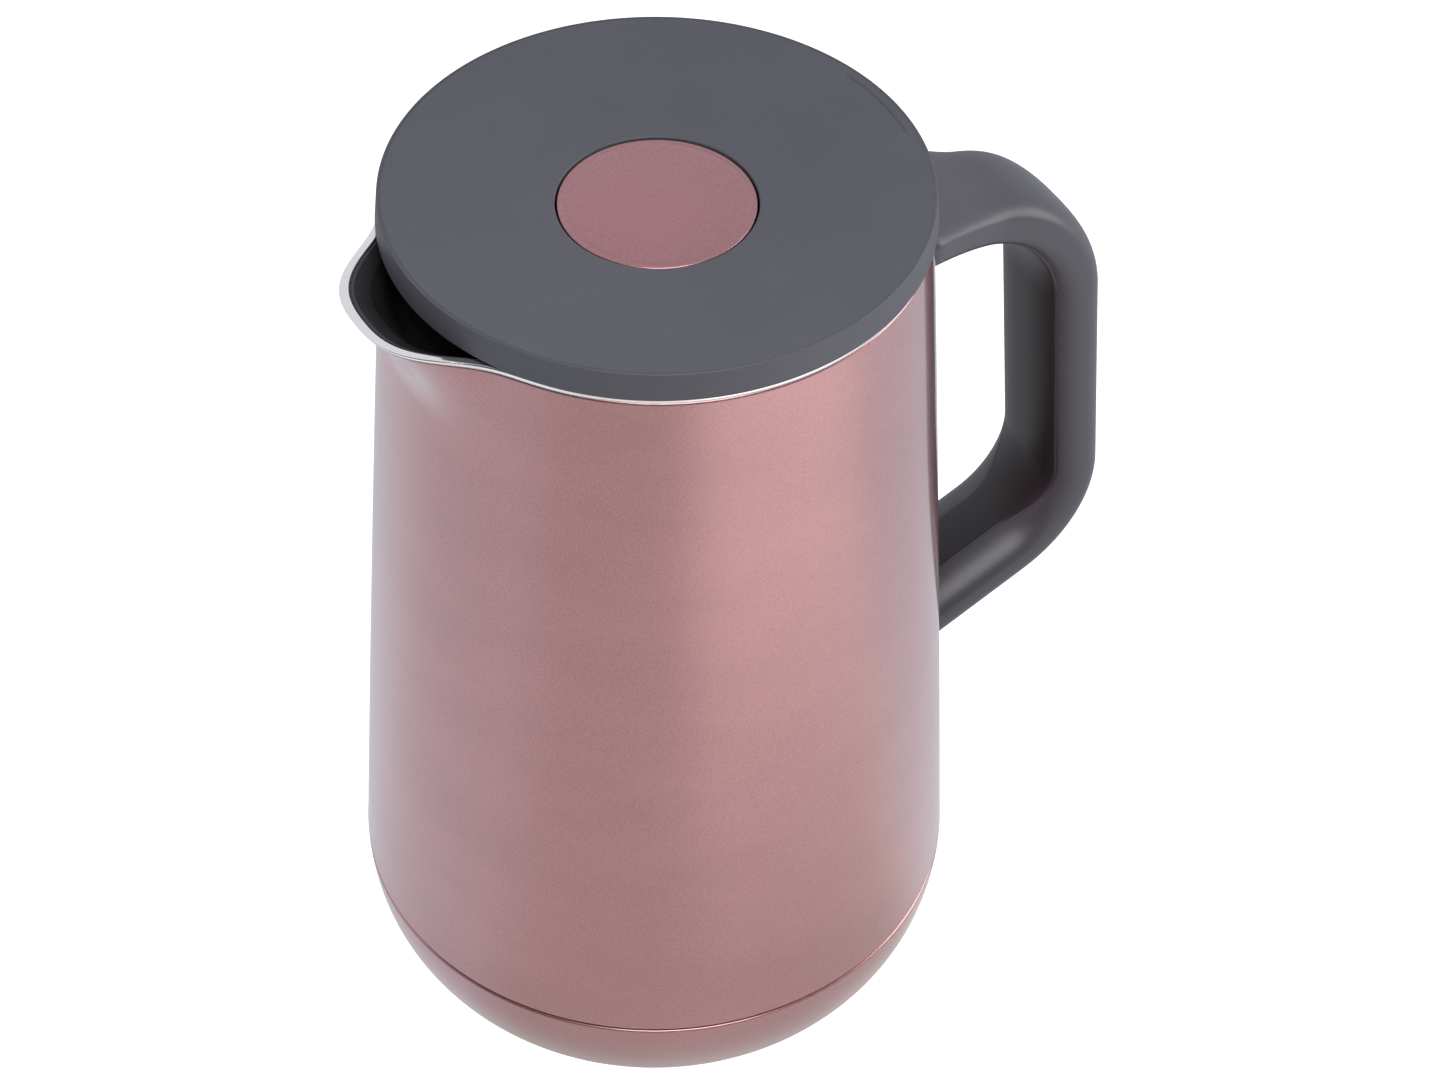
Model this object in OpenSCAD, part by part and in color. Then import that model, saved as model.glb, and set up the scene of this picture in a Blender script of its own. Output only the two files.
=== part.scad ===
// Insulated serving jug: lacquered steel body, glass vacuum flask, press-button lid, loop handle.
// Millimetres, +Z up, origin at the centre of the base on the table.
// The handle points to +X and the pouring lip to -X.

/* [Body] */
// Height from the table to the outer edge of the lid
jug_h = 225; // [215:1:235]
// Largest radius, at the seam above the base cap
belly_r = 69.85; // [66:0.05:74]
// Radius of the rim under the lid
rim_r = 58; // [56:0.5:60]
// How far the side bows out between rim and seam, as a share of their difference
side_bow = 0.084; // [0:0.002:0.12]
// Height of the seam between shell and base cap
seam_z = 30.8; // [28:0.1:34]
// Thickness of the steel skins
skin = 1; // [0.7:0.1:1.2]

/* [Pouring lip] */
// Distance of the lip's own centre from the jug's axis
lip_x = 48; // [46:0.5:50]
// Radius of the lip in plan
lip_r = 23.1; // [21:0.1:24]
// Radius of the two flares beside the lip in plan
flare_r = 35.5; // [34:0.1:36]
// Height over which the lip swells out of the body
lip_drop = 22; // [18:1:26]
// Height of the bare polished band at the rim
band_h = 1.7; // [1.2:0.1:2.5]
// Width of the polished band seen from above
band_w = 2; // [1.6:0.1:2.4]

/* [Handle] */
// Half thickness of the handle
grip_t = 7.2; // [6.6:0.1:7.6]
// Half width of the handle
grip_w = 14.6; // [13:0.1:15]
// Radius of the bend at the top of the grip
bend_top = 31.7; // [28:0.1:36]
// Radius of the bend at the foot of the grip
bend_foot = 25.2; // [22:0.1:30]

/* [Lid] */
// Outer radius of the lid
lid_r = 58.5; // [57:0.5:60]
// Height of the lid's side wall
lid_wall = 6.5; // [6:0.1:7.5]
// Radius of the hole around the button
well_r = 21.4; // [20.5:0.1:22]
// Depth of the lid's dish at the button
dish = 4.15; // [3.5:0.05:4.5]
// Visible gap around the button
button_gap = 0.4; // [0.3:0.05:0.6]
// Travel of the button and the valve
travel = 5; // [4:0.25:5]

/* [Hidden] */
$fn = 96;

// heights down the jug's axis
rim_z = jug_h - lid_wall - 0.4;
shell_top = rim_z - band_h;
lip_foot = rim_z - lip_drop;
collar_top = rim_z - 0.7;
throat_top = jug_h - 38.5;
mouth_z = jug_h - 51.2;
gasket_h = 2.2;
cap_top = seam_z - 0.6;
eps = 0.01;

// lip flares, collar and base cap
flare_x = 30;
funnel_z = jug_h - 24;
collar_wall = 2;
throat_r = 27;
throat_wall = 2.5;
funnel_r = 53.5;
cap_side = 28.7;
cap_depth = 36;
cap_bottom = 0.6;

// flask and base
neck_in = 26.2;
neck_out = 31.5;
flask_r = 57;
glass = 1.8;
vacuum_gap = 3.7;
inner_r = flask_r - glass - vacuum_gap;
flask_base = 28;
dome_z = 50;
shoulder_z = jug_h - 85;
shoulder_h = 28;
pad_r = 4;
cushion_r = 38;
thread_r = 64;
insert_wall = 3;
insert_floor = 7;
foot_in = 46;
foot_out = 53;
foot_h = 3;

// handle: centre line as [x, z], channel, tabs and screws
arm_in = [50, jug_h - 24.4];
arm_out = [101.6, jug_h - 43];
foot_corner = [110.6, 88.3];
foot_in_body = [56, 63.8];
grip_corner = 5.8;
channel_w = 9.4;
channel_floor = -3.2;
cover_in = 4.2;
cover_sink = 0.3;
bracket_reach = 24;
bracket_t = 3.4;
bracket_screw_r = 1.4;
bracket_head_r = 2.8;
// legs run on a little into the bends, and a bend's section is a hair smaller, so that they fuse
leg_lap = 0.6;
bend_inset = 0.02;

// lid and mechanism
plate_z = jug_h - 8.5;
floor_z = jug_h - 27;
housing_r = 26.6;
groove_r = 23.35;
groove_z = jug_h - 44.5;
groove_h = 5;
seat_z = jug_h - 48;
seat_r = 19.5;
port_z = jug_h - 38;
port_h = 8.5;
well_wall = 1.8;
well_bottom = jug_h - 13;
chamber_seal_h = 0.8;
stem_r = 3;
stem_seal_r = 5.5;
stem_seal_h = 2.3;
retainer_h = 0.9;
sleeve_in = 7;
sleeve_wall = 2;
slot_w = 1.8;
carrier_z = jug_h - 8.4;
hub_z = jug_h - 15.7;
button_z = jug_h - dish;
cap_h = 1.65;
button_r = well_r - button_gap;
run = 0.05;
screw_ring = 30;
lid_screw_r = 1.2;
valve_z = seat_z - 0.3;
valve_r = 22.3;
valve_plate_h = 2.5;
valve_seal_h = 2.2;
valve_boss_r = seat_r - 1.2;

// ---------- shared forms ----------

// Radius of the body's outside at height z
function body_r(z) =
  let (s = (rim_z - z) / (rim_z - seam_z))
  rim_r + (belly_r - rim_r) * s * (1 + side_bow * (1 - s));

// Radius of a lip or flare cone at height z: its outermost line ends on the body at lip_foot
function cone_r(centre, top_r, z) =
  let (foot_r = body_r(lip_foot) - 0.4 - centre)
  foot_r + (top_r - foot_r) * (z - lip_foot) / lip_drop;

// Radius of the base cap's outside at height z
function cap_r(z) =
  let (drop = (seam_z - z) / cap_depth)
  belly_r - cap_side * (1 - sqrt(1 - drop * drop));

// Points along a profile r(z), from z0 to z1
function side(z0, z1, inset, n = 16) =
  [for (i = [0:n]) let (z = z0 + (z1 - z0) * i / n) [body_r(z) - inset, z]];
function cap_side_points(z0, z1, inset, n = 12) =
  [for (i = [0:n]) let (z = z0 + (z1 - z0) * i / n) [cap_r(z) - inset, z]];

module ring(r_in, r_out, z, h) {
  translate([0, 0, z]) difference() {
    cylinder(r = r_out, h = h);
    translate([0, 0, -1]) cylinder(r = r_in, h = h + 2);
  }
}

// Solid of the body between two heights, set in from the outside
module body_solid(z0, z1, inset, n = 16) {
  rotate_extrude() polygon(concat([[0, z0]], side(z0, z1, inset, n), [[0, z1]]));
}

module lip_cone(centre, top_r, z0, z1, inset) {
  translate([-centre, 0, z0])
    cylinder(r1 = cone_r(centre, top_r, z0) - inset, r2 = cone_r(centre, top_r, z1) - inset, h = z1 - z0);
}

// The lip: one cone at its tip and a wider one that flares into the body
module lip_solid(z0, z1, inset) {
  lip_cone(lip_x, lip_r, z0, z1, inset);
  lip_cone(flare_x, flare_r, z0, z1, inset);
}

// A band of the jug's mouth between two heights, lip included
module mouth_band(z0, z1, inset_out, inset_in) {
  difference() {
    union() {
      body_solid(z0, z1, inset_out, 2);
      lip_solid(z0, z1, inset_out);
    }
    union() {
      body_solid(z0 - 1, z1 + 1, inset_in, 2);
      lip_solid(z0 - 1, z1 + 1, inset_in);
    }
  }
}

// ---------- body ----------

module outer_shell() {
  color("rosybrown") difference() {
    union() {
      body_solid(seam_z, shell_top, 0, 24);
      lip_solid(lip_foot, shell_top, 0);
    }
    body_solid(seam_z - 1, shell_top + 1, skin, 24);
    lip_solid(lip_foot, shell_top + 1, skin);
  }
}

module pouring_rim() {
  color("silver") mouth_band(shell_top, rim_z, 0, band_w);
}

// Funnel between the rim and the flask's neck
module pouring_collar() {
  wall = band_w + collar_wall;
  color([0.05, 0.05, 0.06]) difference() {
    union() {
      body_solid(funnel_z, collar_top, band_w, 4);
      lip_solid(funnel_z, collar_top, band_w);
      rotate_extrude() polygon([
        [0, mouth_z + gasket_h], [throat_r + throat_wall, mouth_z + gasket_h],
        [throat_r + throat_wall, throat_top - 1.5], [body_r(funnel_z) - band_w, funnel_z], [0, funnel_z]
      ]);
    }
    rotate_extrude() polygon(concat(
      [[0, mouth_z], [throat_r, mouth_z], [throat_r, throat_top], [funnel_r, funnel_z + 2]],
      side(funnel_z + 3, collar_top + 1, wall, 4),
      [[0, collar_top + 1]]
    ));
    lip_solid(funnel_z + 2, collar_top + 1, wall);
  }
}

module neck_gasket() {
  color("dimgray") ring(neck_in + 0.3, neck_out, mouth_z, gasket_h);
}

// Outline of a flask envelope: neck, shoulder, side and domed bottom
function flask_outline(r, neck, top, base_z) = concat(
  [[0, top], [neck, top]],
  [for (i = [0:12]) let (t = 90 - 90 * i / 12) [neck + (r - neck) * cos(t), shoulder_z + shoulder_h * sin(t)]],
  [for (i = [0:14]) let (t = 90 * i / 14) [r * cos(t), dome_z - (dome_z - base_z) * sin(t)]]
);

module flask_solid(r, neck, top, base_z) {
  rotate_extrude() polygon(flask_outline(r, neck, top, base_z));
}

// Inner envelope with the mouth's flange
module flask_inner_wall() {
  base_z = flask_base + glass + vacuum_gap;
  flange_h = 2;
  color("lightsteelblue") difference() {
    union() {
      flask_solid(inner_r, neck_in + glass, mouth_z, base_z);
      translate([0, 0, mouth_z - flange_h]) cylinder(r = neck_out, h = flange_h);
    }
    flask_solid(inner_r - glass, neck_in, mouth_z + 1, base_z + glass);
  }
}

// Outer glass envelope with the sealed tip at its bottom
module flask_outer_wall() {
  color("silver") {
    difference() {
      flask_solid(flask_r, neck_out, mouth_z - 2, flask_base);
      flask_solid(flask_r - glass, neck_out - glass, mouth_z - 1, flask_base + glass);
    }
    translate([0, 0, flask_base - 6]) cylinder(r1 = 1.5, r2 = 4, h = 6.4);
  }
}

// Three pads that hold the two glass walls apart
module flask_spacers() {
  color("white") intersection() {
    ring(inner_r, flask_r - glass, dome_z + 2, 2 * pad_r + 2);
    for (a = [0, 120, 240]) rotate([0, 0, a])
      translate([inner_r - 4, 0, dome_z + pad_r + 3]) rotate([0, 90, 0]) cylinder(r = pad_r, h = 12);
  }
}

// Rubber cup that carries the flask's bottom
module flask_cushion() {
  color("dimgray") difference() {
    ring(10, cushion_r, insert_floor, 26);
    flask_solid(flask_r, neck_out, mouth_z, flask_base);
  }
}

// Threaded ring inside the foot of the shell; its thread is drawn plain
module shell_thread_ring() {
  color("dimgray") difference() {
    body_solid(seam_z + 0.4, seam_z + 13, skin, 4);
    translate([0, 0, seam_z]) cylinder(r = thread_r, h = 20);
  }
}

// Thin seal that shows as the dark seam
module base_gasket() {
  color([0.08, 0.07, 0.08]) ring(thread_r, belly_r - 0.7, cap_top, seam_z - cap_top);
}

module base_cap() {
  color("rosybrown") difference() {
    rotate_extrude() polygon(concat(
      [[0, cap_bottom]], cap_side_points(cap_bottom, cap_top, 0), [[0, cap_top]]
    ));
    rotate_extrude() polygon(concat(
      [[0, cap_bottom + skin]], cap_side_points(cap_bottom + skin, cap_top, skin),
      [[cap_r(cap_top) - skin, cap_top + 1], [0, cap_top + 1]]
    ));
    translate([0, 0, -1]) cylinder(r = foot_out, h = 5);
  }
}

// Plastic insert that screws the base into the shell
module base_insert() {
  low = cap_bottom + skin;
  thread_h = 13;
  wall = skin + insert_wall;
  color("dimgray") difference() {
    union() {
      rotate_extrude() polygon(concat([[0, low]], cap_side_points(low, cap_top, skin), [[0, cap_top]]));
      translate([0, 0, cap_top]) cylinder(r = thread_r, h = thread_h);
    }
    rotate_extrude() polygon(concat(
      [[0, insert_floor], [cap_r(insert_floor) - wall, insert_floor]],
      cap_side_points(insert_floor + 2, cap_top - 4, wall),
      [[thread_r - insert_wall, cap_top - 1], [thread_r - insert_wall, cap_top + thread_h + 1]],
      [[0, cap_top + thread_h + 1]]
    ));
    translate([0, 0, -1]) cylinder(r = foot_out, h = foot_h + 1);
  }
}

module foot_ring() {
  color([0.1, 0.1, 0.1]) ring(foot_in, foot_out, 0, foot_h);
}

// ---------- handle ----------

function unit(v) = v / norm(v);
function heading(a, b) = let (d = unit(b - a)) atan2(d[0], d[1]);
function outward(a, b) = let (d = unit(b - a)) atan2(d[0], -d[1]);
// Distance from a corner to where its bend of radius r begins
function bend_reach(a, b, c, r) = r * tan((heading(b, c) - heading(a, b) + 720) % 360 / 2);
function bend_centre(a, b, c, r) =
  let (p = b + unit(a - b) * bend_reach(a, b, c, r), n = outward(a, b))
  p - r * [cos(n), sin(n)];

// A straight stretch of the handle; the child's +X faces the finger gap
module leg(a, b) {
  translate([a[0], 0, a[1]]) rotate([0, heading(a, b), 0])
    linear_extrude(height = norm(b - a)) children();
}

module bend(a, b, c, r) {
  m = bend_centre(a, b, c, r);
  start = outward(b, c);
  translate([m[0], 0, m[1]]) rotate([90, 0, 0]) rotate([0, 0, start])
    rotate_extrude(angle = outward(a, b) - start) translate([r, 0]) mirror([1, 0]) children();
}

// Sweeps a section along arm, grip and lower arm
module along_handle() {
  top = bend_reach(arm_in, arm_out, foot_corner, bend_top) - leg_lap;
  low = bend_reach(arm_out, foot_corner, foot_in_body, bend_foot) - leg_lap;
  $inset = 0;
  leg(arm_in, arm_out + unit(arm_in - arm_out) * top) children();
  leg(arm_out + unit(foot_corner - arm_out) * top, foot_corner + unit(arm_out - foot_corner) * low) children();
  leg(foot_corner + unit(foot_in_body - foot_corner) * low, foot_in_body) children();
  bend(arm_in, arm_out, foot_corner, bend_top, $inset = bend_inset) children();
  bend(arm_out, foot_corner, foot_in_body, bend_foot, $inset = bend_inset) children();
}

// Rounded section of the handle
module grip_section() {
  t = grip_t - $inset;
  w = grip_w - $inset;
  square([2 * (t - grip_corner), 2 * w], center = true);
  square([2 * t, 2 * (w - grip_corner)], center = true);
  for (x = [-1, 1], y = [-1, 1])
    translate([x * (t - grip_corner), y * (w - grip_corner)]) circle(r = grip_corner);
}

module handle_shell() {
  color([0.23, 0.23, 0.25]) difference() {
    along_handle() difference() {
      grip_section();
      translate([channel_floor - $inset, -channel_w - $inset]) square([20, 2 * (channel_w + $inset)]);
    }
    body_solid(seam_z, shell_top + 1, 0, 24);
    screw_shanks();
  }
}

// Strip that closes the channel on the finger side
module handle_inner_cover() {
  color([0.2, 0.2, 0.22]) difference() {
    along_handle() translate([cover_in + $inset, $inset - channel_w])
      square([grip_t - cover_in - cover_sink - 2 * $inset, 2 * (channel_w - $inset)]);
    body_solid(seam_z, shell_top + 1, 0, 24);
  }
}

// A welded tab that reaches from the shell into the handle; gap_side is the local X of the finger gap
module bracket(a, b, gap_side) {
  color("silver") difference() {
    leg(a, a + unit(b - a) * bracket_reach)
      translate([gap_side * (channel_floor + bracket_t / 2), 0])
        square([bracket_t, 2 * (channel_w - 2)], center = true);
    body_solid(seam_z, shell_top + 1, 0, 24);
    screw_shanks();
  }
}

module handle_upper_bracket() {
  bracket(arm_in, arm_out, 1);
}

module handle_lower_bracket() {
  bracket(foot_in_body, foot_corner, -1);
}

// Places its children on a bracket, with +Z pointing away from the finger gap
module at_screw(a, b, gap_side) {
  for (y = [-4, 4]) translate([a[0], y, a[1]]) rotate([0, heading(a, b), 0])
    translate([0, 0, bracket_reach - 5]) rotate([0, -90 * gap_side, 0]) children();
}

module both_screw_sites() {
  at_screw(arm_in, arm_out, 1) children();
  at_screw(foot_in_body, foot_corner, -1) children();
}

module screw_shanks() {
  both_screw_sites() translate([0, 0, -channel_floor - bracket_t - 1])
    cylinder(r = bracket_screw_r, h = bracket_t + 3.4);
}

module handle_screws() {
  color("silver") {
    both_screw_sites() translate([0, 0, -channel_floor - bracket_t - 2]) cylinder(r = bracket_head_r, h = 2);
    screw_shanks();
  }
}

// ---------- lid ----------

// Height of the dished lid top at radius r
function dish_z(r) = jug_h - dish + dish * (r - well_r) / (lid_r - 0.9 - well_r);

module lid_seal() {
  color([0.15, 0.15, 0.16])
    ring(groove_r + run, throat_r - run, groove_z + run, groove_h - 2 * run);
}

module lid_cover() {
  wall = 2.3;
  mark_r = 55.5;
  boss_r = 3.2;
  color([0.36, 0.36, 0.39]) difference() {
    union() {
      rotate_extrude() polygon([
        [well_r, well_bottom], [well_r + well_wall, well_bottom],
        [well_r + well_wall, dish_z(well_r + well_wall) - wall], [lid_r - wall, dish_z(lid_r - wall) - wall],
        [lid_r - wall, jug_h - lid_wall], [lid_r + 0.4, jug_h - lid_wall],
        [lid_r, jug_h - 0.7], [lid_r - 0.25, jug_h - 0.2], [lid_r - 0.9, jug_h],
        [well_r + 0.3, dish_z(well_r)], [well_r, dish_z(well_r) - 0.3]
      ]);
      for (a = [0, 120, 240]) rotate([0, 0, a]) translate([screw_ring, 0, plate_z + 1.8])
        cylinder(r = boss_r, h = 2.4);
    }
    lid_screw_shanks();
    // fine alignment line on the handle side
    rotate([0, 0, -11]) translate([0, 0, dish_z(mark_r) - 0.25])
      rotate_extrude(angle = 26) translate([mark_r, 0]) square([0.5, 3]);
  }
}

// Plate that closes the cover from below
module lid_underplate() {
  h = 1.8;
  rim_in = 53.2;
  color([0.1, 0.1, 0.11]) difference() {
    rotate_extrude() polygon([
      [well_r + well_wall, plate_z], [rim_in, plate_z], [rim_in, jug_h - lid_wall + 0.1],
      [lid_r - 2.3, jug_h - lid_wall + 0.1], [lid_r - 2.3, jug_h - lid_wall + 1.9],
      [rim_in - h, jug_h - lid_wall + 1.9], [rim_in - h, plate_z + h], [well_r + well_wall, plate_z + h]
    ]);
    lid_screw_shanks();
  }
}

// Stopper: throat sleeve with the valve seat, seal groove and side ports
module lid_housing() {
  wall_in = well_r + well_wall;
  bore_r = groove_r - 1.6;
  flange_r = 34;
  flange_h = 3;
  port_w = 16;
  color([0.12, 0.12, 0.13]) difference() {
    rotate_extrude() polygon([
      [seat_r, seat_z], [housing_r, seat_z], [housing_r, groove_z], [groove_r, groove_z],
      [groove_r, groove_z + groove_h], [housing_r, groove_z + groove_h], [housing_r, plate_z - flange_h],
      [flange_r, plate_z - flange_h], [flange_r, plate_z], [wall_in, plate_z],
      [wall_in, port_z + port_h], [bore_r, port_z + port_h], [bore_r, seat_z + 2], [seat_r, seat_z + 2]
    ]);
    for (a = [30, 90, 150]) rotate([0, 0, a])
      translate([-40, -port_w / 2, port_z]) cube([80, port_w, port_h]);
    lid_screw_shanks();
  }
}

// Dry cup that holds the spring and the latch
module mechanism_cup() {
  boss_r = 7.5;
  boss_h = 5;
  floor_h = 2;
  color([0.3, 0.3, 0.32]) difference() {
    union() {
      translate([0, 0, floor_z - floor_h])
        cylinder(r = well_r + well_wall, h = well_bottom - chamber_seal_h - floor_z + floor_h);
      translate([0, 0, floor_z - boss_h]) cylinder(r = boss_r, h = boss_h - 1);
    }
    translate([0, 0, floor_z]) cylinder(r = well_r, h = 40);
    translate([0, 0, floor_z - boss_h - 1]) {
      cylinder(r = stem_r + run, h = 10);
      cylinder(r = stem_seal_r, h = stem_seal_h + retainer_h + 1);
    }
  }
}

module chamber_seal() {
  color([0.15, 0.15, 0.16])
    ring(well_r, well_r + well_wall, well_bottom - chamber_seal_h, chamber_seal_h);
}

module stem_seal() {
  color([0.15, 0.15, 0.16]) ring(stem_r + run, stem_seal_r, floor_z - 5 + retainer_h, stem_seal_h);
}

module stem_seal_retainer() {
  color([0.3, 0.3, 0.32]) ring(stem_r + 0.4, stem_seal_r, floor_z - 5, retainer_h);
}

// Fixed sleeve whose slots guide the latch rotor
module latch_sleeve() {
  color("white") difference() {
    ring(sleeve_in, sleeve_in + sleeve_wall, floor_z, 11.5);
    for (a = [0, 90]) rotate([0, 0, a]) translate([-12, -slot_w / 2, floor_z + 6]) cube([24, slot_w, 8]);
  }
}

module lid_screw_shanks() {
  for (a = [0, 120, 240]) rotate([0, 0, a]) translate([screw_ring, 0, plate_z - 3.5])
    cylinder(r = lid_screw_r, h = 7.6);
}

module lid_screws() {
  color("silver") {
    lid_screw_shanks();
    for (a = [0, 120, 240]) rotate([0, 0, a]) translate([screw_ring, 0, plate_z - 4.8])
      cylinder(r = 2 * lid_screw_r, h = 1.8);
  }
}

// ---------- button and valve ----------

module button_cap() {
  edge = 0.35;
  hollow = 0.5;
  color([0.62, 0.45, 0.48]) rotate_extrude() polygon([
    [0, button_z - cap_h], [button_r, button_z - cap_h], [button_r, button_z - edge],
    [button_r - edge, button_z], [button_r - 1.6, button_z - 0.15], [button_r - 5, button_z - hollow],
    [0, button_z - hollow - 0.1]
  ]);
}

// Plunger under the cap, with the hub that pushes the stem
module button_carrier() {
  hub_r = 6.4;
  skirt = 5;
  color([0.12, 0.12, 0.13]) difference() {
    union() {
      translate([0, 0, carrier_z]) cylinder(r = button_r, h = button_z - cap_h - carrier_z);
      ring(button_r - 1.6, button_r, carrier_z - skirt, skirt + 1);
      translate([0, 0, hub_z]) cylinder(r = hub_r, h = carrier_z - hub_z + 1);
    }
    translate([0, 0, hub_z - 1]) cylinder(r = stem_r, h = 5.7);
  }
}

module valve_stem() {
  shoulder_z = hub_z - 6;
  color("silver") {
    translate([0, 0, valve_z - 8]) cylinder(r = stem_r, h = hub_z + 4.7 - valve_z + 7);
    translate([0, 0, shoulder_z]) cylinder(r = 4.5, h = 1);
  }
}

module valve_disc() {
  plate = valve_z - valve_seal_h - valve_plate_h;
  color([0.2, 0.2, 0.22]) difference() {
    union() {
      translate([0, 0, plate]) cylinder(r = valve_r, h = valve_plate_h);
      translate([0, 0, plate]) cylinder(r = valve_boss_r, h = valve_plate_h + valve_seal_h);
    }
    translate([0, 0, plate - 1]) cylinder(r = stem_r, h = 8);
  }
}

module valve_seal() {
  color([0.15, 0.15, 0.16]) ring(valve_boss_r, valve_r, valve_z - valve_seal_h, valve_seal_h);
}

module stem_nut() {
  nut_h = 3;
  color("silver") ring(stem_r, 2 * stem_r, valve_z - valve_seal_h - valve_plate_h - nut_h, nut_h);
}

// Spring as a round wire along a helix
module return_spring() {
  coil_r = 13;
  wire = 0.7;
  turns = 6;
  per_turn = 20;
  facets = 8;
  rise = carrier_z - floor_z - 2 * wire - 0.1;
  count = turns * per_turn;
  function coil_point(i, k) =
    let (t = 360 * i / per_turn, s = 360 * k / facets, r = coil_r + wire * cos(s))
    [r * cos(t), r * sin(t), floor_z + wire + 0.05 + rise * i / count + wire * sin(s)];
  points = [for (i = [0:count], k = [0:facets - 1]) coil_point(i, k)];
  faces = concat(
    [[for (k = [0:facets - 1]) k]],
    [for (i = [0:count - 1], k = [0:facets - 1]) let (k2 = (k + 1) % facets)
      [i * facets + k, (i + 1) * facets + k, (i + 1) * facets + k2, i * facets + k2]],
    [[for (k = [0:facets - 1]) (count + 1) * facets - 1 - k]]
  );
  color("silver") polyhedron(points, faces, convexity = 10);
}

// Ring that turns an eighth of a turn at each press; its ribs ride in the sleeve's slots
module latch_rotor() {
  rotor_z = hub_z - 4.7;
  rotor_h = 4.4;
  rotor_r = sleeve_in - 0.4;
  color([0.8, 0.3, 0.2]) difference() {
    translate([0, 0, rotor_z]) cylinder(r = rotor_r, h = rotor_h);
    translate([0, 0, rotor_z - 1]) cylinder(r = stem_r + run, h = rotor_h + 2);
    for (a = [0:45:135]) rotate([0, 0, a]) translate([-10, -0.7, rotor_z + 3]) cube([20, 1.4, 3]);
  }
}

outer_shell();
pouring_rim();
pouring_collar();
neck_gasket();
flask_inner_wall();
flask_outer_wall();
flask_spacers();
flask_cushion();
shell_thread_ring();
base_gasket();
base_cap();
base_insert();
foot_ring();
handle_upper_bracket();
handle_lower_bracket();
handle_shell();
handle_inner_cover();
handle_screws();
lid_seal();
lid_cover();
lid_underplate();
lid_housing();
mechanism_cup();
chamber_seal();
stem_seal();
stem_seal_retainer();
latch_sleeve();
lid_screws();
button_cap();
button_carrier();
valve_stem();
valve_disc();
valve_seal();
stem_nut();
return_spring();
latch_rotor();
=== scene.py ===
import math

import bpy
from mathutils import Matrix, Vector


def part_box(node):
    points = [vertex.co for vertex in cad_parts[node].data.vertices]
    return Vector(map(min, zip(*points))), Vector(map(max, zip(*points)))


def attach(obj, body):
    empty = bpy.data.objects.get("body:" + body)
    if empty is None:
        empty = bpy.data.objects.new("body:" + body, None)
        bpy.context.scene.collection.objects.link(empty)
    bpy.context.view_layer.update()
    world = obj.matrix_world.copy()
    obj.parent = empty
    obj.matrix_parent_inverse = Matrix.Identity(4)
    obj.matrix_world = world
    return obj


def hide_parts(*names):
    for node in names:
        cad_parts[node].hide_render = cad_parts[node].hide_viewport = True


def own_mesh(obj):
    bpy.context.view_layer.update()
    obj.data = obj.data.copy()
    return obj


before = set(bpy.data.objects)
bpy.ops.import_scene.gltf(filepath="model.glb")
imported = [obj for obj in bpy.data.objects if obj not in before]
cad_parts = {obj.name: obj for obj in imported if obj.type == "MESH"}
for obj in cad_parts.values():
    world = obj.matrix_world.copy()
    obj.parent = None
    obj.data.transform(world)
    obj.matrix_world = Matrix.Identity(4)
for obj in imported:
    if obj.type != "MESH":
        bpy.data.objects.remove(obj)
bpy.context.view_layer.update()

MM = 0.001

# ---------- sizes, from the frame where it has them ----------

shell_lo, shell_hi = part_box("outer_shell")
rim_lo, rim_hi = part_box("pouring_rim")
cap_lo, cap_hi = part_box("base_cap")
lid_lo, lid_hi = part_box("lid_cover")
button_lo, button_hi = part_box("button_cap")
spring_lo, spring_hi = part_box("return_spring")
foot_lo, foot_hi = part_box("foot_ring")
collar_lo, collar_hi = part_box("pouring_collar")

JUG_TOP = lid_hi.z
SEAM_Z = shell_lo.z
RIM_Z = rim_hi.z
BELLY_R = shell_hi.y
RIM_R = 58 * MM
SIDE_BOW = 0.084
SKIN = 1.0 * MM

# the lip: how far out, from how low, how wide, which way, and the powers of its fall-off and rise
LIP_REACH = -rim_lo.x
LIP_FOOT = RIM_Z - 24 * MM
LIP_HALF_ANGLE = math.radians(19)
LIP_HEADING = math.radians(181)
LIP_FALL_OFF = 3
LIP_RISE = 1.8

# the polished band's thickness and lower edge, and the half axes of the base cap's curve
BAND_W = 2.4 * MM
BAND_FOOT = shell_hi.z + 0.7 * MM
CAP_ARC_H = 36 * MM
CAP_ARC_W = 28.7 * MM

# the lid: how far its side wall leans out, its radius, wall height and flat margin, and the button's well
LID_SLOPE = 0.4 * MM
LID_R = lid_hi.y - LID_SLOPE
LID_WALL = 6.5 * MM
LID_EDGE = 0.9 * MM
WELL_R = 21.4 * MM
DISH = JUG_TOP - button_hi.z
BUTTON_R = button_hi.x

# the fine alignment line engraved in the lid's top
MARK_R = 55.6 * MM
MARK_HALF_W = 0.28 * MM
MARK_DEPTH = 0.22 * MM
MARK_FROM, MARK_TO = math.radians(-11), math.radians(15)
MARK_TAPER = math.radians(2)

# points round a turned piece: large, middling and small
FINE, MIDDLING, COARSE = 320, 256, 192


# ---------- mesh helpers ----------

def make_mesh(name, verts, faces):
    """A new smooth-shaded mesh object in the scene."""
    data = bpy.data.meshes.new(name)
    data.from_pydata([tuple(v) for v in verts], [], faces)
    data.update()
    for polygon in data.polygons:
        polygon.use_smooth = True
    piece = bpy.data.objects.new(name, data)
    bpy.context.scene.collection.objects.link(piece)
    return piece


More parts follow.
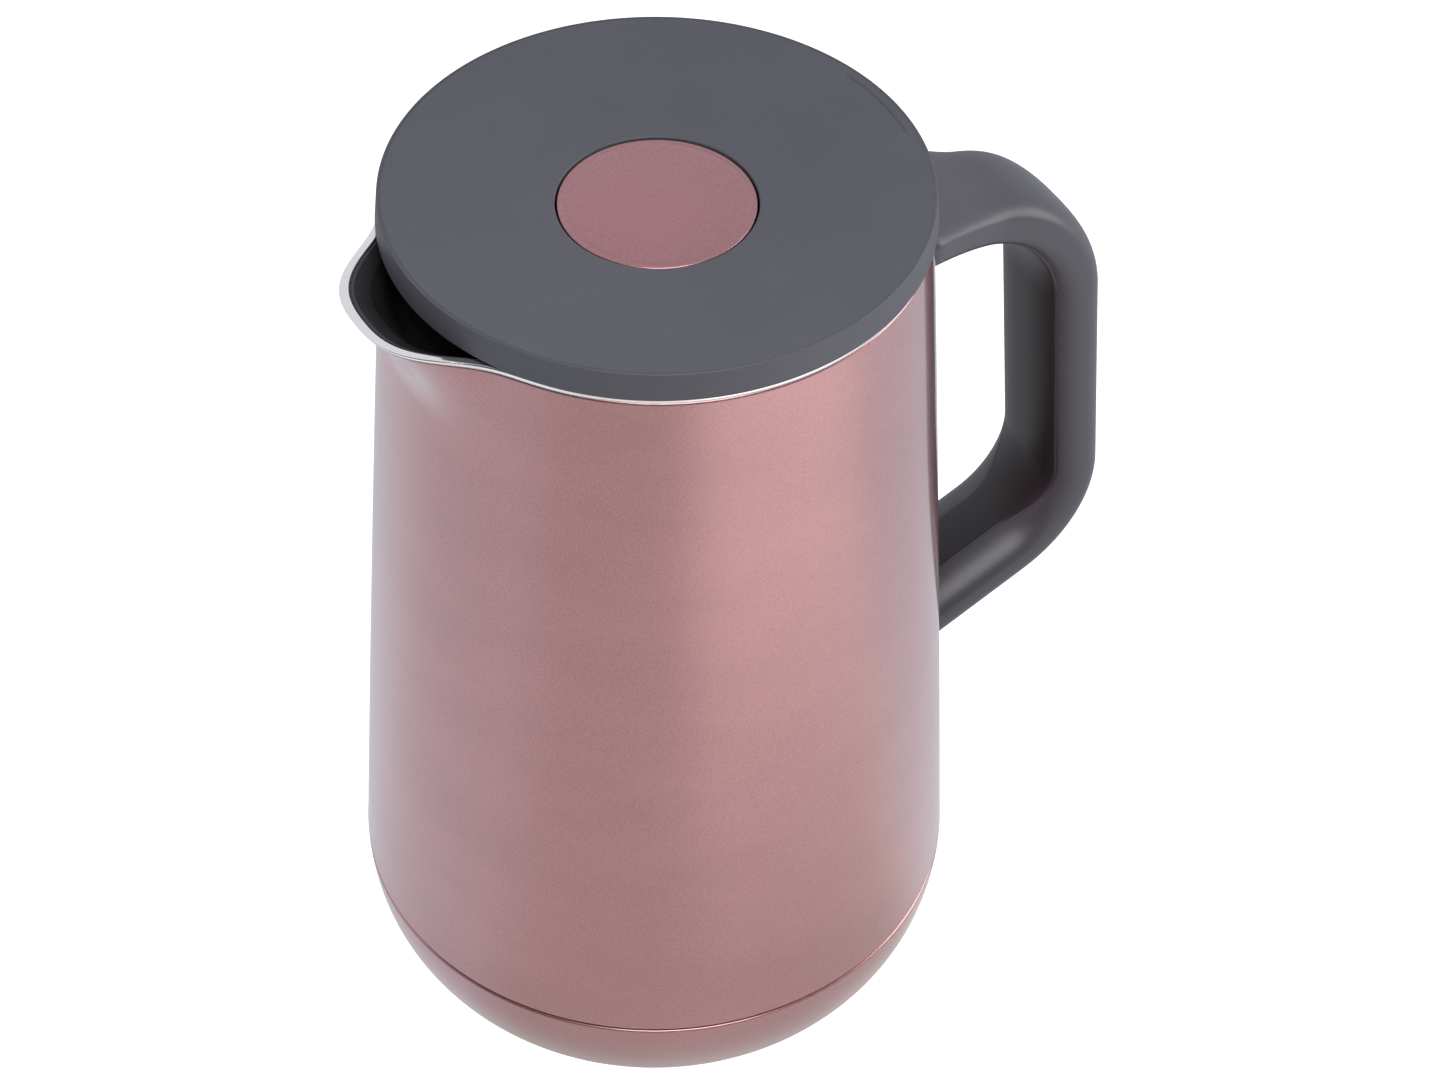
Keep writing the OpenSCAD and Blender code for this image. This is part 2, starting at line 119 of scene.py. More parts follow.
def grid_faces(rows, cols, close_rows, close_cols):
    """Quads of a grid of rows x cols points, joined round either way."""
    faces = []
    for i in range(rows if close_rows else rows - 1):
        for j in range(cols if close_cols else cols - 1):
            a, b = i * cols + j, i * cols + (j + 1) % cols
            c, d = ((i + 1) % rows) * cols + (j + 1) % cols, ((i + 1) % rows) * cols + j
            faces.append((a, b, c, d))
    return faces


def beside(reach, support, side):
    """How far from a corner its supporting point lies, short of the middle of the side."""
    return min(reach + support, 0.49 * side + 0.02 * reach)


def rounded(points, radii, steps=5, support=0.35 * MM):
    """A closed outline in (r, z) with rounded corners, and a point beside each bend to keep flats flat."""
    most = 0.48  # share of a side that one corner may take
    out = []
    count = len(points)
    for i, corner in enumerate(points):
        p = Vector(corner)
        before, after = Vector(points[i - 1]), Vector(points[(i + 1) % count])
        to_before, to_after = before - p, after - p
        radius = radii[i]
        if radius <= 0:
            out.append(p)
            continue
        half = to_before.angle(to_after) / 2
        reach = min(radius / math.tan(half), most * to_before.length, most * to_after.length)
        radius = reach * math.tan(half)
        a, b = to_before.normalized(), to_after.normalized()
        centre = p + (a + b).normalized() * (radius / math.sin(half))
        start, end = p + a * reach - centre, p + b * reach - centre
        turn = start.angle_signed(end)
        out.append(p + a * beside(reach, support, to_before.length))
        for k in range(steps + 1):
            angle = -turn * k / steps
            out.append(centre + Matrix.Rotation(angle, 2) @ start)
        out.append(p + b * beside(reach, support, to_after.length))
    return [(v.x, v.y) for v in out]


def turned(name, outline, around=MIDDLING, shape=None, closed=True):
    """Turns an outline of (r, z) about Z. shape(r, z, angle) may move a point, and angle 0 is +X.

    An outline that isn't closed is closed at both ends by a fan to the axis.
    """
    verts = []
    for r, z in outline:
        for j in range(around):
            angle = 2 * math.pi * j / around
            rr, zz = shape(r, z, angle) if shape else (r, z)
            verts.append((rr * math.cos(angle), rr * math.sin(angle), zz))
    faces = grid_faces(len(outline), around, closed, True)
    if not closed:
        for row in (0, len(outline) - 1):
            first = row * around
            verts.append((0, 0, outline[row][1]))
            hub = len(verts) - 1
            for j in range(around):
                side = (first + j, first + (j + 1) % around, hub)
                faces.append(side if row else side[::-1])
    return make_mesh(name, verts, faces)


def between(a, b, count):
    """count + 1 numbers from a to b."""
    return [a + (b - a) * i / count for i in range(count + 1)]


# ---------- the jug's form ----------

def body_r(z):
    """Radius of the body's outside at height z."""
    s = (RIM_Z - z) / (RIM_Z - SEAM_Z)
    return RIM_R + (BELLY_R - RIM_R) * s * (1 + SIDE_BOW * (1 - s))


def lip_swell(z, angle):
    """How far the lip stands out of the body at height z, round the jug."""
    s = min(max((z - LIP_FOOT) / (RIM_Z - LIP_FOOT), 0.0), 1.0)
    off = abs(math.remainder(angle - LIP_HEADING, 2 * math.pi)) / LIP_HALF_ANGLE
    return (LIP_REACH - RIM_R) * math.exp(-off ** LIP_FALL_OFF) * s ** LIP_RISE


def with_lip(r, z, angle):
    """Moves a point of the body out where the lip is."""
    return r + lip_swell(z, angle), z


def side_points(z0, z1, inset, count):
    """Points along the body's side, set in from its outside."""
    return [(body_r(z) - inset, z) for z in between(z0, z1, count)]


# ---------- materials ----------

def new_material(name):
    """A material with its Principled shader, and the node tree to build on."""
    m = bpy.data.materials.new(name)
    m.use_nodes = True
    tree = m.node_tree
    return m, tree, tree.nodes["Principled BSDF"]


def node(tree, kind, **properties):
    """A node with its properties set by name."""
    n = tree.nodes.new(kind)
    for key, value in properties.items():
        setattr(n, key, value)
    return n


def object_coordinates(tree, scale=(1, 1, 1)):
    """Object-space coordinates, stretched."""
    place = node(tree, "ShaderNodeTexCoord")
    mapping = node(tree, "ShaderNodeMapping")
    mapping.inputs["Scale"].default_value = scale
    tree.links.new(place.outputs["Object"], mapping.inputs["Vector"])
    return mapping.outputs["Vector"]


def noise(tree, vector, scale, detail=2.0):
    """Noise with so many features to a metre."""
    n = node(tree, "ShaderNodeTexNoise")
    n.inputs["Scale"].default_value = scale
    n.inputs["Detail"].default_value = detail
    tree.links.new(vector, n.inputs["Vector"])
    return n.outputs["Fac"]


def spread(tree, value, low, high, start=0.0, end=1.0, kind="LINEAR"):
    """Maps a value's range start to end onto low to high."""
    m = node(tree, "ShaderNodeMapRange", interpolation_type=kind)
    m.inputs["From Min"].default_value = start
    m.inputs["From Max"].default_value = end
    m.inputs["To Min"].default_value = low
    m.inputs["To Max"].default_value = high
    tree.links.new(value, m.inputs["Value"])
    return m.outputs["Result"]


def maths(tree, operation, a, b):
    """One arithmetic step on two values, each a number or an output."""
    n = node(tree, "ShaderNodeMath", operation=operation)
    for socket, value in zip(n.inputs, (a, b)):
        if isinstance(value, (int, float)):
            socket.default_value = value
        else:
            tree.links.new(value, socket)
    return n.outputs["Value"]


def mixed_tone(tree, cloud, speckle):
    """Slow clouding with a stronger fine speckle, centred on 0.5."""
    cloud_share, speckle_share = 0.5, 1.3
    excess = (cloud_share + speckle_share - 1) / 2
    speckle = maths(tree, "SUBTRACT", maths(tree, "MULTIPLY", speckle, speckle_share), excess)
    return maths(tree, "ADD", maths(tree, "MULTIPLY", cloud, cloud_share), speckle)


def blend_colours(tree, fac, low, high):
    """Two colours mixed by a value."""
    ramp = node(tree, "ShaderNodeValToRGB")
    ramp.color_ramp.elements[0].position = 0.35
    ramp.color_ramp.elements[1].position = 0.65
    ramp.color_ramp.elements[0].color = (*low, 1)
    ramp.color_ramp.elements[1].color = (*high, 1)
    tree.links.new(fac, ramp.inputs["Fac"])
    return ramp.outputs["Color"]


def tint(base, factor):
    """A colour made lighter or darker, no channel over 1."""
    return tuple(min(c * factor, 1) for c in base)


def bump(tree, shader, *layers):
    """Stacks bumps: each layer is (height, strength, distance in metres)."""
    last = None
    for height, strength, distance in layers:
        b = node(tree, "ShaderNodeBump")
        b.inputs["Strength"].default_value = strength
        b.inputs["Distance"].default_value = distance
        tree.links.new(height, b.inputs["Height"])
        if last:
            tree.links.new(last, b.inputs["Normal"])
        last = b.outputs["Normal"]
    tree.links.new(last, shader.inputs["Normal"])


def copper_lacquer(name, base=(0.44, 0.222, 0.228), rough=0.33, ripple=0.08):
    """Rose-copper metallic lacquer: fine flakes, a slow drift of tone and a thin clear coat.

    The ripple is a bump so shallow that it hardly shows.
    """
    m, tree, shader = new_material(name)
    flakes = noise(tree, object_coordinates(tree), 2600)
    drift = noise(tree, object_coordinates(tree, (1, 1, 3.0)), 20, detail=3)
    waves = noise(tree, object_coordinates(tree, (1, 1, 2.6)), 26, detail=3)
    contrast = 0.09
    uneven = 0.08
    tone = mixed_tone(tree, drift, flakes)
    colour = blend_colours(tree, tone, tint(base, 1 - contrast), tint(base, 1 + contrast))
    tree.links.new(colour, shader.inputs["Base Color"])
    tree.links.new(spread(tree, flakes, rough - uneven, rough + uneven), shader.inputs["Roughness"])
    bump(tree, shader, (waves, ripple, 0.4 * MM), (flakes, 0.2, 0.04 * MM))
    shader.inputs["Metallic"].default_value = 0.95
    shader.inputs["Coat Weight"].default_value = 0.9
    shader.inputs["Coat IOR"].default_value = 1.62
    shader.inputs["Coat Roughness"].default_value = 0.08
    return m


def grained_plastic(name, base, rough):
    """Moulded plastic with a fine eroded grain."""
    m, tree, shader = new_material(name)
    fine = noise(tree, object_coordinates(tree), 3600)
    cloud = noise(tree, object_coordinates(tree), 60)
    contrast = 0.06
    uneven = 0.05
    tone = mixed_tone(tree, cloud, fine)
    colour = blend_colours(tree, tone, tint(base, 1 - contrast), tint(base, 1 + contrast))
    tree.links.new(colour, shader.inputs["Base Color"])
    tree.links.new(spread(tree, fine, rough - uneven, rough + uneven), shader.inputs["Roughness"])
    bump(tree, shader, (fine, 0.35, 0.03 * MM))
    return m


def gloss_plastic(name, base):
    """Polished moulded plastic."""
    m, tree, shader = new_material(name)
    flow = noise(tree, object_coordinates(tree, (1, 1, 0.5)), 90)
    tree.links.new(blend_colours(tree, flow, tint(base, 0.8), base), shader.inputs["Base Color"])
    tree.links.new(spread(tree, flow, 0.12, 0.2), shader.inputs["Roughness"])
    bump(tree, shader, (flow, 0.15, 0.3 * MM))
    return m


def metal(name, base, rough, lines, contrast):
    """Bare steel, polished or with fine turning lines."""
    m, tree, shader = new_material(name)
    haze = noise(tree, object_coordinates(tree, (1, 1, 6)), 900)
    uneven = contrast / 2
    tree.links.new(blend_colours(tree, haze, tint(base, 1 - contrast), base), shader.inputs["Base Color"])
    tree.links.new(spread(tree, haze, rough - uneven, rough + uneven), shader.inputs["Roughness"])
    bump(tree, shader, (haze, lines, 0.05 * MM))
    shader.inputs["Metallic"].default_value = 1.0
    return m


def rubber(name, base):
    """Matt silicone or rubber with a dusty grain."""
    m, tree, shader = new_material(name)
    dust = noise(tree, object_coordinates(tree), 1500, detail=3)
    tree.links.new(blend_colours(tree, dust, base, tint(base, 1.25)), shader.inputs["Base Color"])
    tree.links.new(spread(tree, dust, 0.62, 0.8), shader.inputs["Roughness"])
    bump(tree, shader, (dust, 0.3, 0.04 * MM))
    return m


def silvered_glass(name):
    """Glass with a silver coat behind it: a mirror with a faint cloudy tint."""
    m, tree, shader = new_material(name)
    cloud = noise(tree, object_coordinates(tree), 45, detail=3)
    colour = blend_colours(tree, cloud, (0.70, 0.72, 0.74), (0.86, 0.87, 0.88))
    tree.links.new(colour, shader.inputs["Base Color"])
    tree.links.new(spread(tree, cloud, 0.05, 0.12), shader.inputs["Roughness"])
    bump(tree, shader, (cloud, 0.1, 0.4 * MM))
    shader.inputs["Metallic"].default_value = 1.0
    shader.inputs["Coat Weight"].default_value = 1.0
    return m


LACQUER = copper_lacquer("copper_lacquer")
BUTTON_LACQUER = copper_lacquer("button_lacquer", base=(0.44, 0.195, 0.215), rough=0.36, ripple=0.0)
SOFT_GREY = grained_plastic("soft_grey", (0.070, 0.070, 0.087), rough=0.52)
HANDLE_GREY = grained_plastic("handle_grey", (0.058, 0.056, 0.070), rough=0.38)
# the inner cover's near-black grey is partly the darker moulding of the cover and partly painted shade of
# the finger-side face that turns towards the body
COVER_GREY_AND_PAINTED_SHADE = grained_plastic("cover_grey_and_painted_shade", (0.014, 0.013, 0.016), rough=0.42)
INNER_PLASTIC = grained_plastic("inner_plastic", (0.03, 0.03, 0.033), rough=0.4)
WHITE_PLASTIC = grained_plastic("white_plastic", (0.72, 0.72, 0.68), rough=0.35)
RED_PLASTIC = grained_plastic("signal_plastic", (0.5, 0.08, 0.05), rough=0.35)
BLACK_GLOSS = gloss_plastic("black_gloss", (0.030, 0.028, 0.030))
POLISHED = metal("polished_steel", (0.98, 0.975, 0.975), rough=0.10, lines=0.0, contrast=0.02)
STEEL = metal("plain_steel", (0.62, 0.62, 0.63), rough=0.28, lines=0.3, contrast=0.07)
SILICONE = rubber("silicone", (0.035, 0.035, 0.037))
FOOT_RUBBER = rubber("foot_rubber", (0.02, 0.02, 0.02))
SILVERED = silvered_glass("silvered_glass")


# ---------- pieces ----------

def stand_for(piece, cad_node, body, material):
    """Gives a piece its material and body, in place of a CAD node."""
    piece.data.materials.append(material)
    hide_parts(cad_node)
    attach(piece, body)


def make_outer_shell():
    """The lacquered body: barrel side that swells into the lip, hemmed at the seam."""
    r = body_r(SEAM_Z)
    hem = [(r - 0.9 * MM, SEAM_Z), (r - 0.45 * MM, SEAM_Z + 0.05 * MM),
           (r - 0.12 * MM, SEAM_Z + 0.25 * MM), (r, SEAM_Z + 0.6 * MM)]
    low = side_points(SEAM_Z + 1.0 * MM, LIP_FOOT - 2 * MM, 0, 30)
    high = side_points(LIP_FOOT, BAND_FOOT, 0, 28)
    inner = side_points(BAND_FOOT, SEAM_Z, SKIN, 24)
    piece = turned("outer_shell_lacquered", hem + low + high + inner, FINE, with_lip)
    stand_for(piece, "outer_shell", "jug", LACQUER)


def make_pouring_rim():
    """Bare polished band with a rolled top edge."""
    outline = rounded([
        (body_r(BAND_FOOT) - BAND_W, BAND_FOOT), (body_r(BAND_FOOT), BAND_FOOT),
        (body_r(RIM_Z), RIM_Z), (body_r(RIM_Z) - BAND_W, RIM_Z)
    ], [0, 0, 0.6 * MM, 0.3 * MM])
    piece = turned("pouring_rim_polished", outline, FINE, with_lip)
    stand_for(piece, "pouring_rim", "jug", POLISHED)


def make_pouring_collar():
    """Glossy funnel inside the lip, down to the stopper's throat."""
    throat_r, throat_wall = 27 * MM, 2.5 * MM
    throat_top = JUG_TOP - 38.5 * MM
    ledge_r, ledge_z = 53.5 * MM, JUG_TOP - 21 * MM
    moulding = 2.3 * MM
    shoulder = 2.6 * MM
    top = RIM_Z - 0.25 * MM
    inset = BAND_W + moulding
    inner = [(throat_r, z) for z in between(collar_lo.z, throat_top - 2 * MM, 3)]
    inner += [(throat_r + 1.2 * MM, throat_top)]
    for t in between(0.1, 1, 10):
        inner.append((throat_r + (ledge_r - throat_r) * t, throat_top + (ledge_z - throat_top) * t))
    inner += side_points(ledge_z + 2 * MM, RIM_Z - shoulder - 0.8 * MM, inset, 14)
    for t in between(0, 1, 6):
        inner.append((body_r(top) - inset + moulding * t ** 1.6, top - shoulder * (1 - t)))
    outer = side_points(collar_hi.z - 0.5 * MM, JUG_TOP - 24 * MM, BAND_W, 14)
    outer += [(throat_r + throat_wall, throat_top - 1.5 * MM), (throat_r + throat_wall, collar_lo.z)]
    piece = turned("pouring_collar_gloss", inner + outer, FINE, with_lip)
    stand_for(piece, "pouring_collar", "jug", BLACK_GLOSS)


def cap_r(z):
    """Radius of the base cap's outside at height z."""
    drop = (SEAM_Z - z) / CAP_ARC_H
    return BELLY_R - CAP_ARC_W * (1 - math.sqrt(1 - drop * drop))


def make_base_cap():
    """Lacquered base skin, rolled in at the seam and round the foot."""
    top, bottom = cap_hi.z, cap_lo.z
    foot_edge = foot_hi.x
    roll_r = 0.6 * MM
    seam_edge = []
    for a in between(0, math.pi / 2, 5):
        seam_edge.append((cap_r(top) - roll_r * (1 - math.cos(a)), top - roll_r * (1 - math.sin(a))))
    seam_edge += [(cap_r(top) - SKIN, top)]
    outer = [(cap_r(z), z) for z in between(bottom + 1.4 * MM, top - 0.9 * MM, 26)]
    inner = [(cap_r(z) - SKIN, z) for z in between(top - 0.6 * MM, bottom + 2.2 * MM, 20)]
    inner += [(foot_edge, bottom + SKIN)]
    heel = [(foot_edge, bottom), (cap_r(bottom) - 1.2 * MM, bottom)]
    heel += [(cap_r(bottom) - 0.1 * MM, bottom + 0.35 * MM)]
    piece = turned("base_cap_lacquered", outer + seam_edge + inner + heel)
    stand_for(piece, "base_cap", "jug", LACQUER)


def make_foot_ring():
    """Rubber ring, rounded where it meets the table."""
    r_out = foot_hi.x
    r_in = r_out - 7 * MM
    edge = 0.8 * MM
    corners = [(r_in, foot_lo.z), (r_out, foot_lo.z), (r_out, foot_hi.z), (r_in, foot_hi.z)]
    piece = turned("foot_ring_rubber", rounded(corners, [edge, edge, 0, 0]), COARSE)
    stand_for(piece, "foot_ring", "jug", FOOT_RUBBER)


def dish_z(r):
    """Height of the dished lid top at radius r."""
    return JUG_TOP - DISH + DISH * (r - WELL_R) / (LID_R - LID_EDGE - WELL_R)


def engrave(r, z, angle):
    """Sinks the fine alignment line into the lid's top, with tapered ends."""
    a = math.remainder(angle, 2 * math.pi)
    near = 1 - min(abs(r - MARK_R) / MARK_HALF_W, 1)
    ends = min((a - MARK_FROM) / MARK_TAPER, (MARK_TO - a) / MARK_TAPER, 1)
    on_top = z > dish_z(r) - MARK_DEPTH
    if near > 0 and ends > 0 and on_top:
        z -= MARK_DEPTH * min(near * 2, 1) * ends
    return r, z


def make_lid_cover():
    """Dished disc with a softly broken edge, a fine groove inside it, a side wall and the button's well."""
    wall, well_wall = 2.3 * MM, 2 * MM
    bottom = JUG_TOP - LID_WALL
    wall_r = LID_R - wall
    well_out = WELL_R + well_wall
    outer = rounded([
        (wall_r, bottom), (LID_R + LID_SLOPE, bottom), (LID_R - 0.2 * MM, JUG_TOP),
        (WELL_R, dish_z(WELL_R)), (WELL_R, lid_lo.z), (well_out, lid_lo.z),
        (well_out, dish_z(well_out) - wall), (wall_r, dish_z(wall_r) - wall)
    ], [0.3 * MM, 0.35 * MM, 0.28 * MM, 0.35 * MM, 0, 0, 0, 0], support=0.15 * MM)
    top_edge = max(i for i, (r, z) in enumerate(outer) if r > LID_R - LID_EDGE)
    groove_r, groove_w, groove_depth = LID_R - 0.85 * MM, 0.18 * MM, 0.28 * MM
    groove = [(groove_r + groove_w, JUG_TOP), (groove_r, JUG_TOP - groove_depth)]
    top_lines = [groove_r - groove_w * k for k in (1, 1.3, 2)]
    top_lines += [MARK_R - MARK_HALF_W * k for k in (-2.2, -1, -0.55, 0, 0.55, 1, 2.2)]
    top_lines += [radius * MM for radius in (52, 46, 40, 34, 28, 24)]
    top = [(r, dish_z(r)) for r in top_lines]
    outline = outer[:top_edge + 1] + groove + top + outer[top_edge + 1:]
    piece = turned("lid_cover_soft", outline, 384, engrave)
    stand_for(piece, "lid_cover", "lid", SOFT_GREY)


def make_button_cap():
    """Lacquered disc, faintly crowned, with a turned edge."""
    top, bottom = button_hi.z, button_lo.z
    crown_h = 0.4 * MM
    edge = rounded([
        (BUTTON_R - 3 * MM, bottom), (BUTTON_R, bottom), (BUTTON_R, top - 0.3 * MM),
        (BUTTON_R - 1.0 * MM, top - 0.35 * MM)
    ], [0, 0.2 * MM, 0.3 * MM, 0.25 * MM], support=0.15 * MM)
    crown = [(BUTTON_R * t, top - crown_h * t * t) for t in (0.93, 0.85, 0.7, 0.55, 0.4, 0.25, 0.1, 0.03)]
    outline = [(0.6 * MM, bottom)] + edge + crown
    piece = turned("button_cap_lacquered", outline, COARSE, closed=False)
    stand_for(piece, "button_cap", "button", BUTTON_LACQUER)


def make_return_spring():
    """Coil spring with closed ends, as tall as the CAD spring."""
    low = spring_lo.z
    height = spring_hi.z - low
    wire_r, turns, per_turn, facets = 0.7 * MM, 7, 48, 12
    coil_r = spring_hi.x - wire_r
    end_rise = 2 * wire_r
    free_rise = height - 2 * wire_r - 2 * end_rise
    rings = turns * per_turn + 1
    verts = []
    for i in range(rings):
        t = i / per_turn
        at_ends = min(t, 1) + max(t - (turns - 1), 0)
        between_ends = min(max(t - 1, 0) / (turns - 2), 1)
        z = low + wire_r + end_rise * at_ends + free_rise * between_ends
        for k in range(facets):
            a, b = 2 * math.pi * t, 2 * math.pi * k / facets
            r = coil_r + wire_r * math.cos(b)
            verts.append((r * math.cos(a), r * math.sin(a), z + wire_r * math.sin(b)))
    faces = [face[::-1] for face in grid_faces(rings, facets, False, True)]
    faces += [tuple(range(facets)), tuple(range((rings - 1) * facets, rings * facets))[::-1]]
    piece = make_mesh("return_spring_wound", verts, faces)
    stand_for(piece, "return_spring", "lid", STEEL)
    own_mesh(piece)


# ---------- handle ----------

class Handle:
    """Centre line and section of the loop handle, in the XZ plane."""

    # corners of the centre line as (x, z), and the radii of its two bends
    start = Vector((56.0 * MM, JUG_TOP - 26.6 * MM))
    top = Vector((101.4 * MM, JUG_TOP - 43.0 * MM))
    foot = Vector((110.1 * MM, 88.4 * MM))
    end = Vector((60.0 * MM, 66.4 * MM))
    bend_top = 32 * MM
    bend_foot = 25.4 * MM
    # half thickness, half width and squareness along: upper arm, grip, lower arm
    half_t = (5.8 * MM, 7.55 * MM, 7.8 * MM)
    half_w = (13.9 * MM, 14.7 * MM, 14.6 * MM)
    square_out = (3.2, 2.5, 2.1)
    square_in = (2.6, 2.4, 2.1)
    # the upper arm widens where it meets the body, and has a hollow along its side
    flare_from = 80 * MM
    flare_reach = 23 * MM
    flare = 8.3 * MM
    waist = 0.5 * MM
    # the outside is fuller where the upper bend begins
    shoulder = 1.25 * MM
    shoulder_x = 87.5 * MM
    shoulder_reach = 9 * MM
    # half angle of the finger-side cover along: upper arm, grip, lower arm
    cover_half = (math.radians(47), math.radians(47), math.radians(24))
    # steps in each bend and in each straight stretch
    bend_steps, straight_steps = 26, 14


def fillet(a, corner, b, radius, count):
    """Points of the arc that rounds a corner."""
    to_a, to_b = (a - corner).normalized(), (b - corner).normalized()
    half = to_a.angle(to_b) / 2
    centre = corner + (to_a + to_b).normalized() * (radius / math.sin(half))
    start = corner + to_a * (radius / math.tan(half)) - centre
    end = corner + to_b * (radius / math.tan(half)) - centre
    turn = -start.angle_signed(end)
    return [centre + Matrix.Rotation(turn * k / count, 2) @ start for k in range(count + 1)]


def handle_line():
    """Points along the handle, each with its place on the scale 0 upper arm, 1 grip, 2 lower arm."""
    h = Handle
    first = fillet(h.start, h.top, h.foot, h.bend_top, h.bend_steps)
    second = fillet(h.top, h.foot, h.end, h.bend_foot, h.bend_steps)
    line = [(h.start.lerp(first[0], t), 0.0) for t in between(0, 1, h.straight_steps)[:-1]]
    line += [(p, i / h.bend_steps) for i, p in enumerate(first)]
    line += [(first[-1].lerp(second[0], t), 1.0) for t in between(0, 1, h.straight_steps + 2)[1:-1]]
    line += [(p, 1 + i / h.bend_steps) for i, p in enumerate(second)]
    line += [(second[-1].lerp(h.end, t), 2.0) for t in between(0, 1, h.straight_steps)[1:]]
    return line


def along(values, s):
    """Value at s on the scale 0, 1, 2, eased between the three values."""
    i = min(int(s), 1)
    t = s - i
    t = t * t * (3 - 2 * t)
    return values[i] + (values[i + 1] - values[i]) * t


class Section:
    """Measures of the handle's section at one point of its centre line."""

    def __init__(self, p, s):
        near_body = max(0.0, (Handle.flare_from - p.x) / Handle.flare_reach) if s < 0.5 else 0.0
        self.half_t = along(Handle.half_t, s)
        self.half_out = self.half_t
        if s < 1:
            off = (p.x - Handle.shoulder_x) / Handle.shoulder_reach
            self.half_out += Handle.shoulder * math.exp(-off * off)
        self.half_w = along(Handle.half_w, s) + Handle.flare * near_body ** 1.3
        self.square_out = along(Handle.square_out, s)
        self.square_in = along(Handle.square_in, s)
        self.cover_edge = math.pi - along(Handle.cover_half, s)
        self.waist = Handle.waist * max(1 - s, 0)

    def point(self, angle, sink=0.0):
        """Point (n, y) of the rounded outline: n is outward from the finger gap."""
        c, s = math.cos(angle), math.sin(angle)
        power = self.square_out if c > 0 else self.square_in
        reach = self.half_out if c > 0 else self.half_t
        n = math.copysign(abs(c) ** (2 / power), c) * (reach - sink)
        y = math.copysign(abs(s) ** (2 / power), s) * self.half_w
        dent = self.waist * math.exp(-((n / self.half_t - 0.25) / 0.25) ** 2)
        return n, y - math.copysign(min(dent, abs(y)), y)


def press_to_body(point, direction):
    """Slides a point along direction until it lies just under the body's surface."""
    sunk = 0.5 * MM
    for _ in range(12):
        depth = math.hypot(point.x, point.y) - (body_r(point.z) - sunk)
        point = point - direction * depth
    return point


def sweep_handle(name, section):
    """Sweeps section(Section) -> [(n, y)] along the handle; both ends follow the body."""
    line = handle_line()
    verts = []
    rings = len(line)
    for i, (p, s) in enumerate(line):
        ahead, behind = line[min(i + 1, rings - 1)][0], line[max(i - 1, 0)][0]
        t = (ahead - behind).normalized()
        out = Vector((-t.y, t.x))
        ring = section(Section(p, s))
        for n, y in ring:
            at = Vector((p.x + out.x * n, y, p.y + out.y * n))
            if i in (0, rings - 1):
                away = Vector((t.x, 0, t.y)) * (1 if i == 0 else -1)
                at = press_to_body(at, away)
            verts.append(at)
    size = len(verts) // rings
    faces = grid_faces(rings, size, False, True)
    faces += [tuple(range(size))[::-1], tuple(range((rings - 1) * size, rings * size))]
    return make_mesh(name, verts, faces)


CHANNEL_LIP = 0.12 * MM
CHANNEL_DEPTH = 2.6 * MM


def outer_section(at):
    """Outer shell: the rounded section, opened by a channel on the finger side."""
    lip = CHANNEL_LIP
    ring = [at.point(a) for a in between(-at.cover_edge, at.cover_edge, 72)]
    n_edge, y_edge = ring[-1]
    side = [(n_edge + lip * 0.3, y_edge - lip * 0.8), (n_edge + lip, y_edge - lip)]
    side += [(n_edge + CHANNEL_DEPTH, y_edge - lip)]
    other_side = [(n, -y) for n, y in reversed(side)]
    return ring + side + other_side


def cover_section(at):
    """Inner cover: the strip that closes the channel, a hair below the shell's surface."""
    gap, thick, sink = 0.07 * MM, 2.0 * MM, 0.03 * MM
    first = at.cover_edge + math.radians(0.7)
    n_edge, y_edge = at.point(at.cover_edge)
    limit = y_edge - CHANNEL_LIP - gap
    ring = []
    for a in between(first, 2 * math.pi - first, 30):
        n, y = at.point(a, sink)
        ring.append((n, max(min(y, limit), -limit)))
    back = [(n_edge + thick, -limit), (n_edge + thick, limit)]
    return ring + back


def make_handle():
    """The two mouldings of the handle."""
    shell = sweep_handle("handle_shell_soft", outer_section)
    stand_for(shell, "handle_shell", "jug", HANDLE_GREY)
    # the cover's dark grey is partly its own colour and partly painted shade of the finger side
    cover = sweep_handle("handle_inner_cover_soft", cover_section)
    stand_for(cover, "handle_inner_cover", "jug", COVER_GREY_AND_PAINTED_SHADE)


make_outer_shell()
make_pouring_rim()
make_pouring_collar()
make_base_cap()
make_foot_ring()
make_lid_cover()
make_button_cap()
make_return_spring()
make_handle()

# ---------- finishes of the CAD nodes that stay ----------

FINISHES = {
    SILICONE: ["neck_gasket", "base_gasket", "lid_seal", "chamber_seal", "stem_seal", "valve_seal"],
    SILVERED: ["flask_inner_wall", "flask_outer_wall"],
    FOOT_RUBBER: ["flask_cushion"],
    WHITE_PLASTIC: ["flask_spacers", "latch_sleeve"],
    RED_PLASTIC: ["latch_rotor"],
    INNER_PLASTIC: [
        "shell_thread_ring", "base_insert", "lid_underplate", "lid_housing", "mechanism_cup",
        "stem_seal_retainer", "button_carrier", "valve_disc"
    ],
    STEEL: [
        "handle_upper_bracket", "handle_lower_bracket", "handle_screws", "lid_screws", "valve_stem",
        "stem_nut"
    ],
}
for material, names in FINISHES.items():
    for name in names:
        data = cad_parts[name].data
        data.materials.clear()
        data.materials.append(material)


# ---------- camera, floor and light ----------

CAMERA_HEADING = 59.5

# strength of the floor in reflections, and what is added where the camera sees it
FLOOR_LEVEL, FLOOR_WHITE = 0.62, 0.8
# the bright pool to the right, which grows stronger with distance from the jug
POOL_HEADING, POOL_LEVEL, POOL_REACH = 287, 0.38, (0.10, 0.31)
# the dim stretches before and behind the jug, the shade close round its foot, and the warm side
FRONT_HEADING, FRONT_DIM = 226, 0.17
BACK_HEADING, BACK_DIM = 50, 0.22
CONTACT_SHADE, CONTACT_REACH = 0.87, (0.06, 0.13)
WARM_HEADING = 262
# strength of the room behind the camera, behind the jug, and as the camera sees it
ROOM_DARK, ROOM_BRIGHT, ROOM_SEEN = 0.08, 0.72, 0.9


